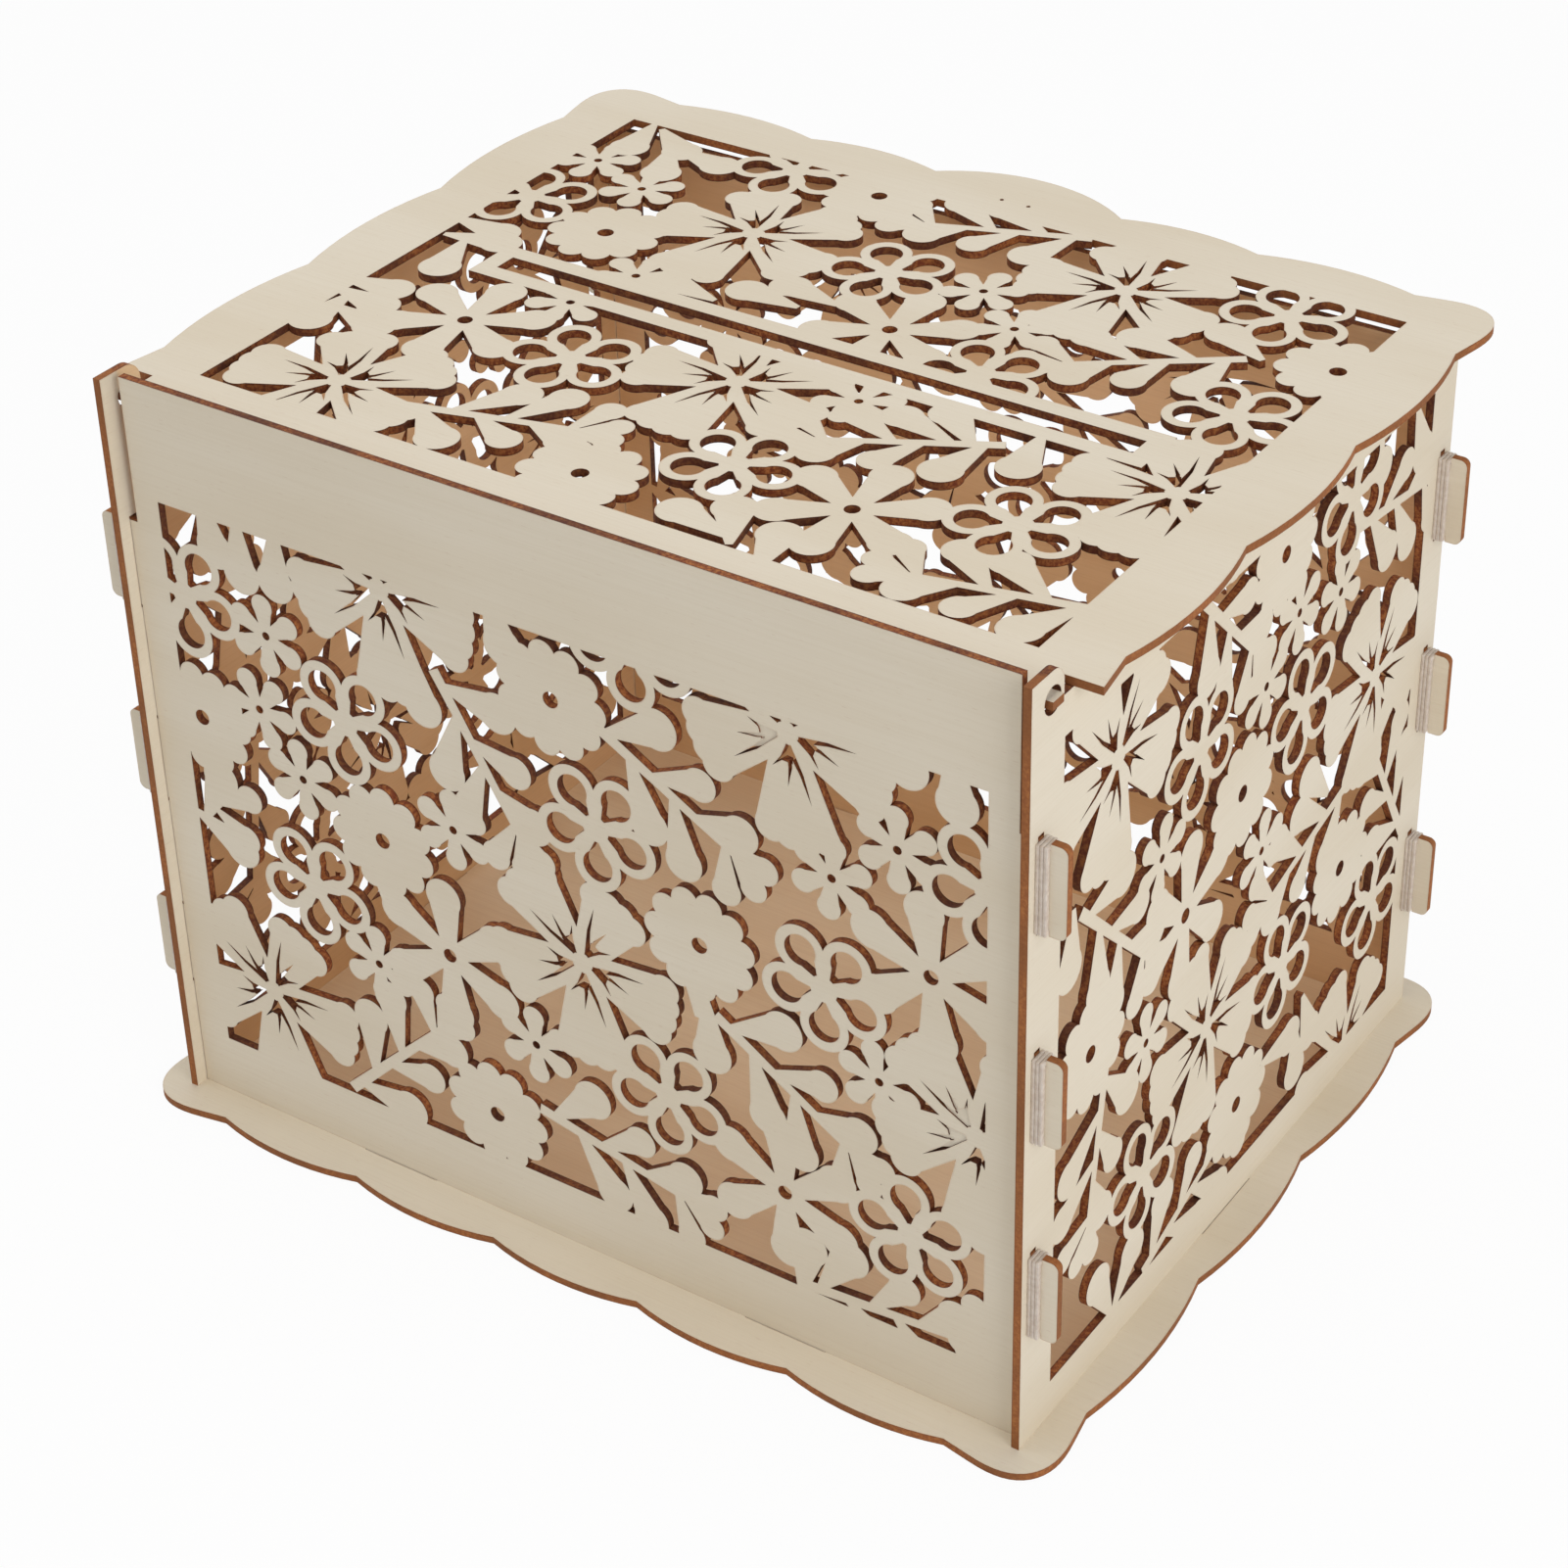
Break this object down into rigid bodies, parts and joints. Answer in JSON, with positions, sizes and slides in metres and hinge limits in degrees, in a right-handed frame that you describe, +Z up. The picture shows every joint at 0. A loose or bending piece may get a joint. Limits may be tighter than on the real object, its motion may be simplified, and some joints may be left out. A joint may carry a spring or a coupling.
{
  "type": "wedding card box",
  "caption": "Pierced ply box of interlocking floral cutwork panels on a lobed base, with a hinged lobed lid that has a card slot and elastic bands round the corner tabs.",
  "frame": {"origin": "middle of the base plate's underside, on the table", "axes": "+Z up, +X towards the right side panel, +Y from the hinge wall towards the front wall"},
  "size_m": [0.324, 0.2723, 0.25],
  "materials": {
    "base_ply": "raw sanded birch ply, laser-browned edges",
    "side_ply": "raw sanded birch ply, laser-browned edges",
    "wall_ply": "raw sanded birch ply, laser-browned edges",
    "lid_ply": "raw sanded birch ply, laser-browned edges",
    "elastic": "translucent matt"
  },
  "bodies": {
    "box": {"base_plate": "base_ply", "left_side": "side_ply", "right_side": "side_ply", "hinge_wall": "wall_ply", "front_wall": "wall_ply", "band_1": "elastic", "band_2": "elastic", "band_3": "elastic", "band_4": "elastic", "band_5": "elastic", "band_6": "elastic", "band_7": "elastic", "band_8": "elastic", "band_9": "elastic", "band_10": "elastic", "band_11": "elastic", "band_12": "elastic"},
    "lid": {"lid": "lid_ply"}
  },
  "joints": [
    {"name": "lid_hinge", "type": "hinge", "parent": "box", "child": "lid", "pos_m": [0, -0.11002, 0.24155], "axis": [1, 0, 0], "range_deg": [0, 100]}
  ]
}
